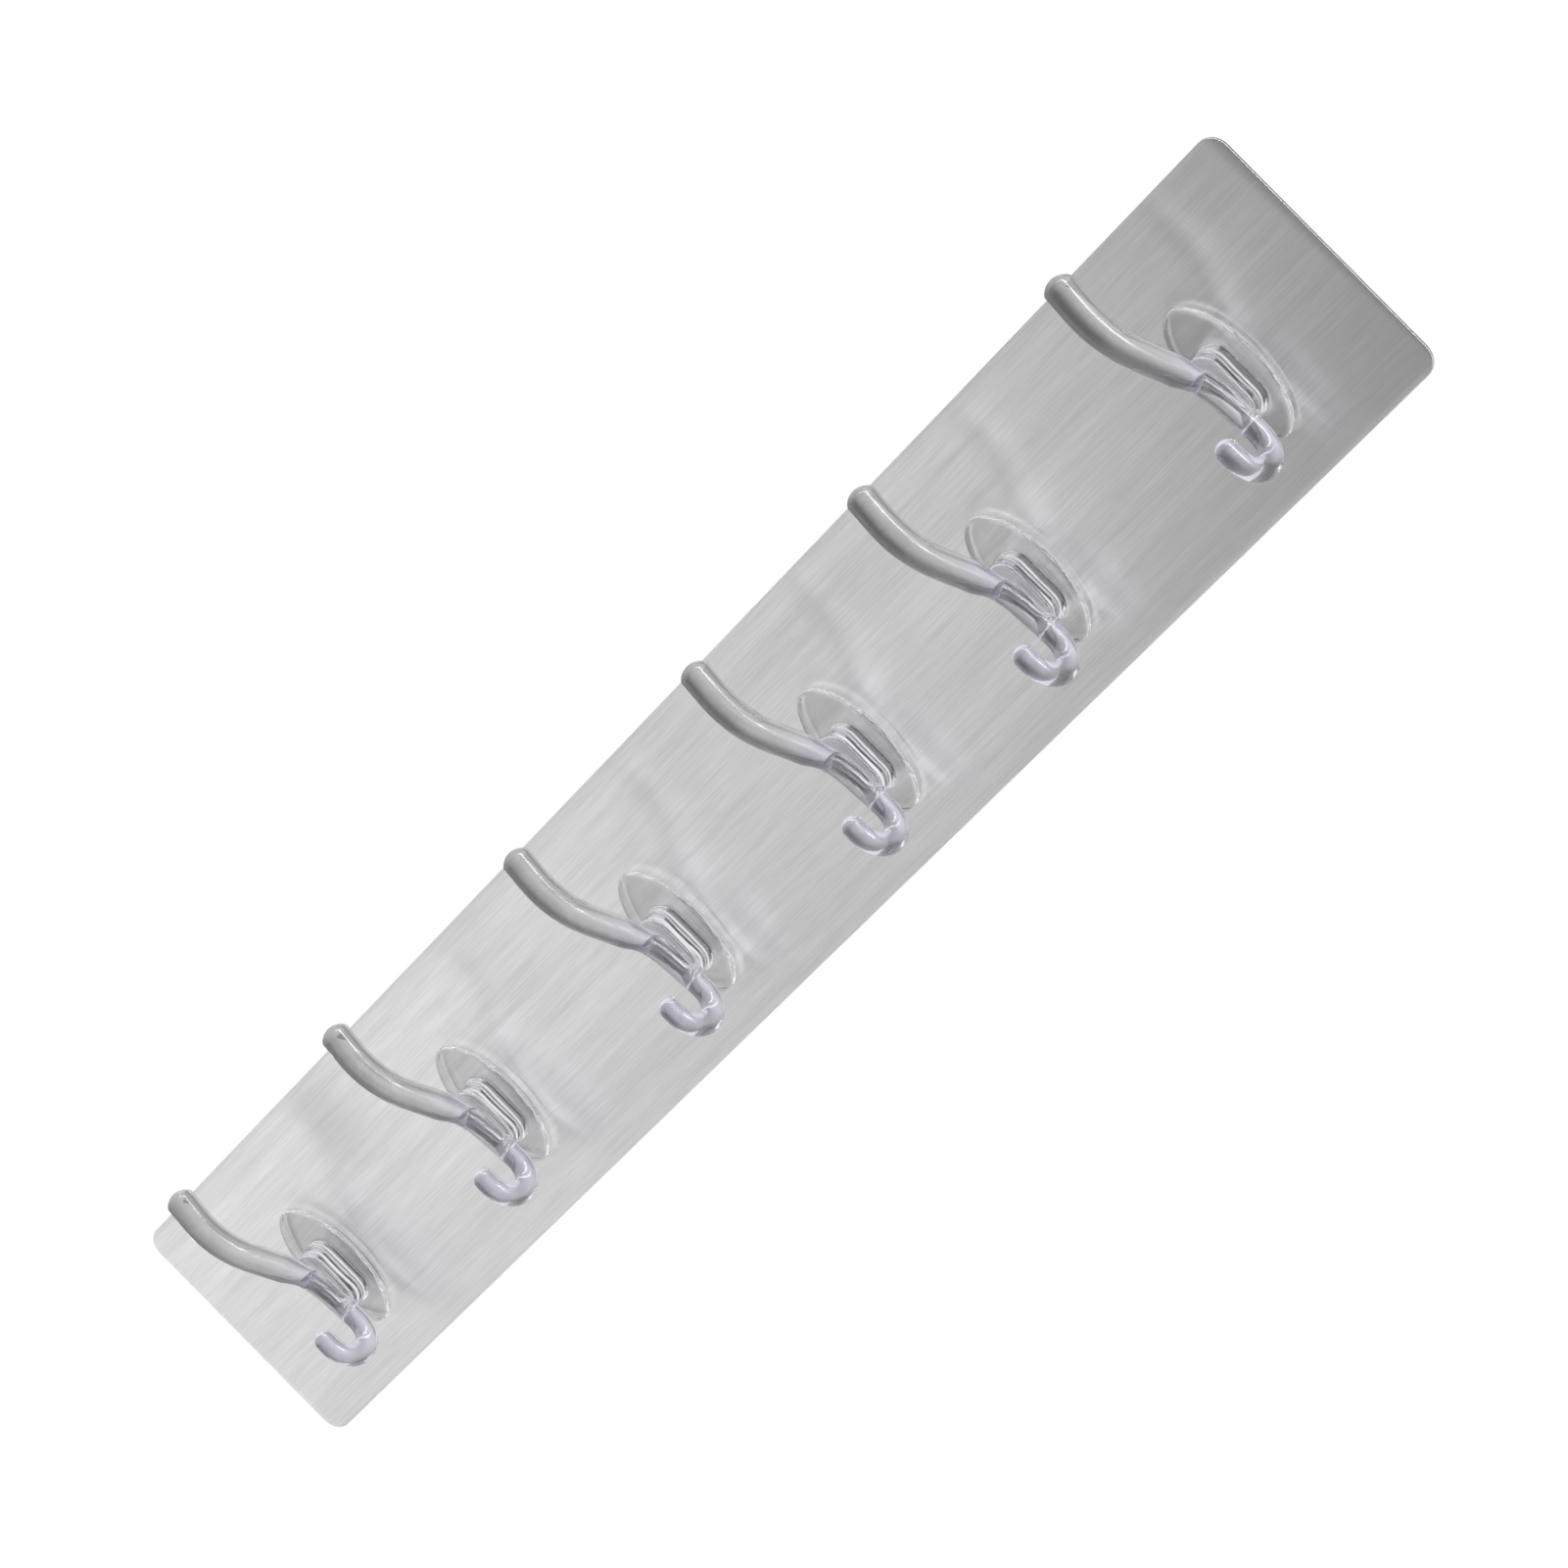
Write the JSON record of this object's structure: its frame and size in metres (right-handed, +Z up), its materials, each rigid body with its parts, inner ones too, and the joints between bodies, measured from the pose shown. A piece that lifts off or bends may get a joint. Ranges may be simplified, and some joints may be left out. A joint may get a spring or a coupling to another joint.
{
  "type": "adhesive wall hook strip",
  "caption": "Thin brushed steel wall strip with an adhesive back, carrying a row of clear double hooks, each with a long upper prong, a short lower crook and an oval base.",
  "frame": {"origin": "centre of the adhesive's back face, the face that bonds to the wall", "axes": "+X along the strip, +Y into the wall, +Z up the wall, so that the hooks stand out towards -Y and the long prongs point up"},
  "size_m": [0.4, 0.027, 0.0622],
  "materials": {
    "steel": "brushed lengthwise",
    "clear_plastic": "clear, polished",
    "bond_pad": "clear gel",
    "adhesive": "soft foam"
  },
  "bodies": {
    "root": {"face_plate": "steel", "wall_adhesive_sheet": "adhesive", "hook_1": "clear_plastic", "hook_2": "clear_plastic", "hook_3": "clear_plastic", "hook_4": "clear_plastic", "hook_5": "clear_plastic", "hook_6": "clear_plastic", "hook_pad_1": "bond_pad", "hook_pad_2": "bond_pad", "hook_pad_3": "bond_pad", "hook_pad_4": "bond_pad", "hook_pad_5": "bond_pad", "hook_pad_6": "bond_pad"}
  },
  "joints": []
}
